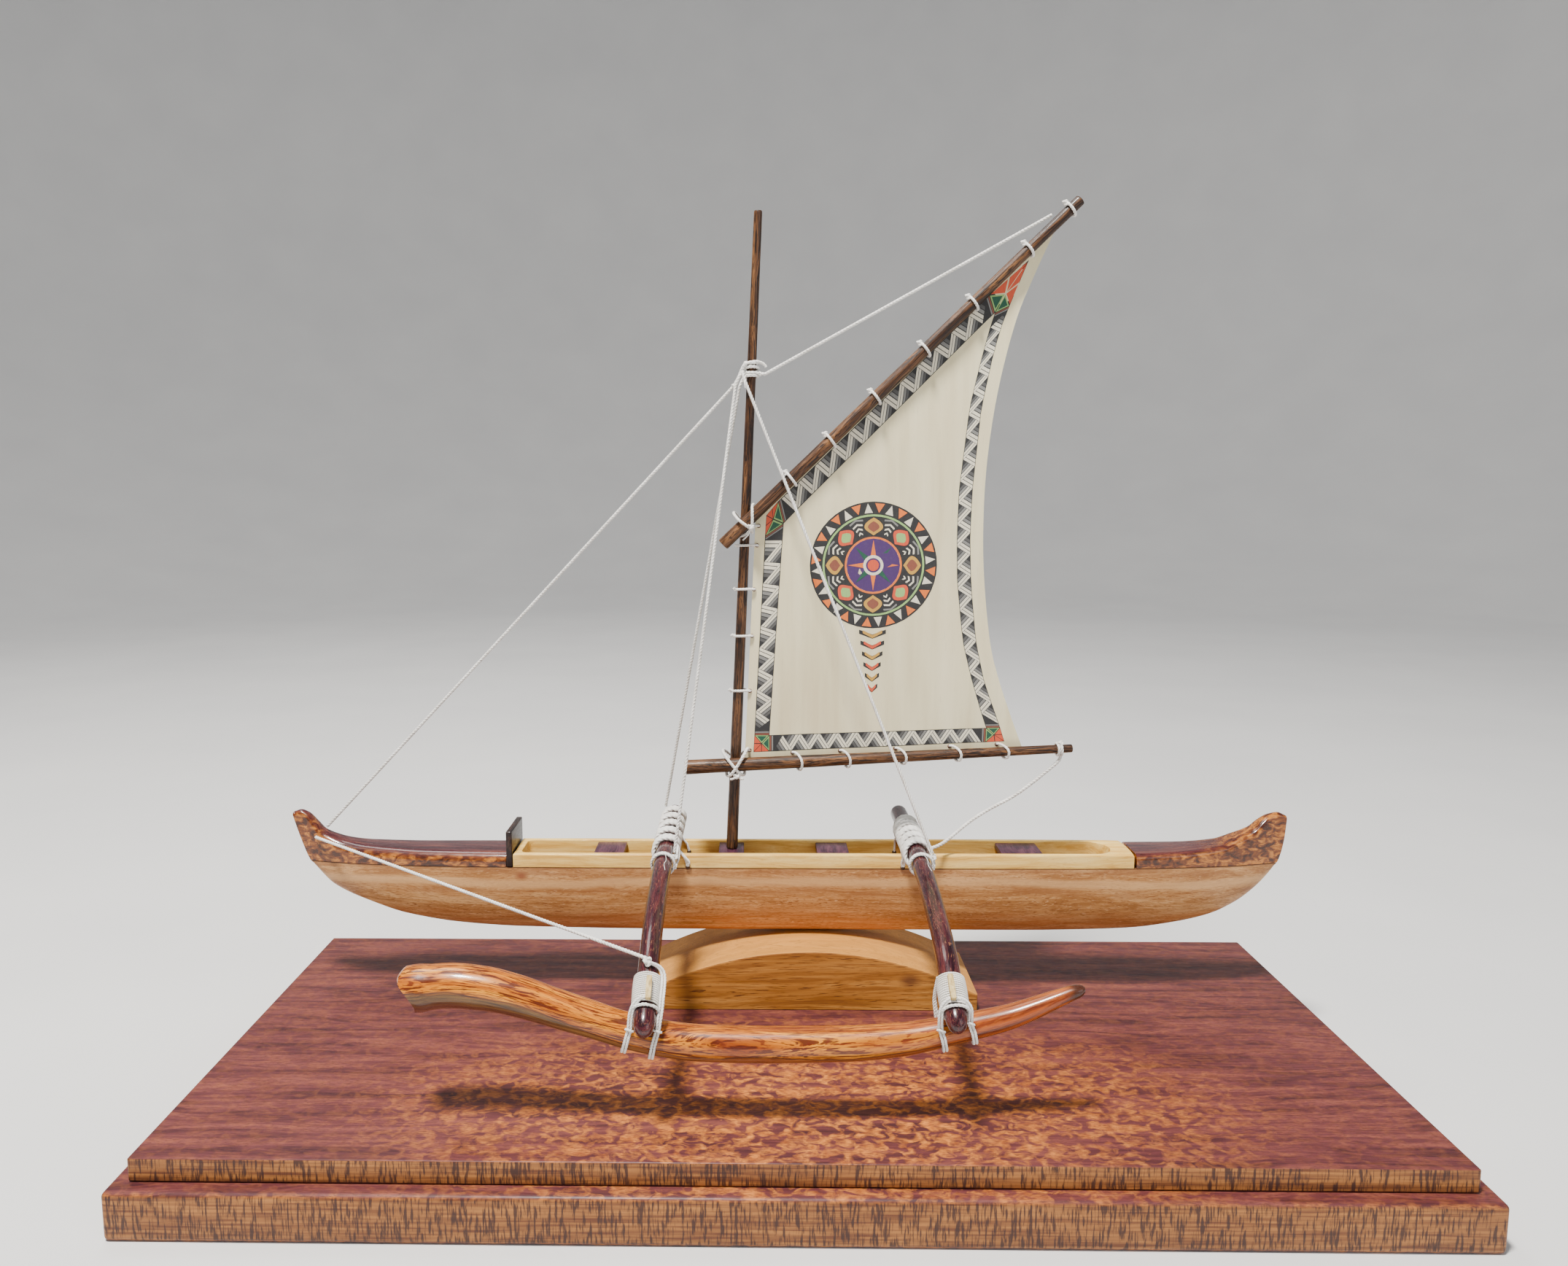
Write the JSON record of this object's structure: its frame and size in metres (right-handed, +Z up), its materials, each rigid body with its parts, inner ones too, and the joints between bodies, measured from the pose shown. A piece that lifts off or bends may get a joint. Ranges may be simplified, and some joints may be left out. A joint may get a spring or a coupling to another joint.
{
  "type": "display model of a sailing outrigger canoe",
  "caption": "Wooden display model of a sailing outrigger canoe with a crab-claw sail, one float, rope rigging and a two-tier plinth; the boom, spar and sail swing about the mast.",
  "frame": {"origin": "middle of the plinth's underside", "axes": "+X towards the stern, -Y towards the float, +Z up"},
  "size_m": [0.508, 0.222, 0.4033],
  "materials": {
    "walnut": "satin",
    "pine": "matte",
    "hull_wood": "satin",
    "rail_wood": "satin",
    "deck_wood": "gloss",
    "splash_wood": "satin",
    "thwart_wood": "satin",
    "spar_wood": "matte",
    "beam_wood": "gloss",
    "float_wood": "gloss",
    "peg_wood": "matte",
    "cord": "twisted, matte",
    "thread": "fine winding, matte",
    "cloth": "woven, matte"
  },
  "bodies": {
    "hull_and_plinth": {"aft_ama_binding": "cord", "aft_ama_loop_aft": "cord", "aft_ama_loop_forward": "cord", "aft_ama_wrap": "thread", "aft_deck": "deck_wood", "aft_iako": "beam_wood", "aft_iako_lashing": "cord", "aft_peg": "peg_wood", "aft_shroud_ring": "cord", "ama": "float_wood", "base_lower_board": "walnut", "base_upper_board": "walnut", "bow_float_line": "cord", "coaming": "rail_wood", "fore_deck": "deck_wood", "forestay": "cord", "forward_ama_binding": "cord", "forward_ama_loop_aft": "cord", "forward_ama_loop_forward": "cord", "forward_ama_wrap": "thread", "forward_iako": "beam_wood", "forward_iako_lashing": "cord", "forward_peg": "peg_wood", "forward_shroud_ring": "cord", "hull": "hull_wood", "mast": "spar_wood", "mast_step": "thwart_wood", "port_aft_shroud": "cord", "port_forward_shroud": "cord", "sheet_line": "cord", "splash_board": "splash_wood", "stand": "pine", "starboard_forward_shroud": "cord", "stay_collar": "cord", "thwart_aft": "thwart_wood", "thwart_forward": "thwart_wood", "thwart_middle": "thwart_wood"},
    "rig": {"boom": "spar_wood", "spar": "spar_wood", "sail": "cloth", "peak_line": "cord", "boom_lashing": "cord", "spar_lashing": "cord"}
  },
  "joints": [
    {"name": "boom_swing", "type": "hinge", "parent": "hull_and_plinth", "child": "rig", "pos_m": [-0.02447, 0.049, 0.1412], "axis": [0.0427, 0, 0.9991], "range_deg": [-5, 5]}
  ]
}
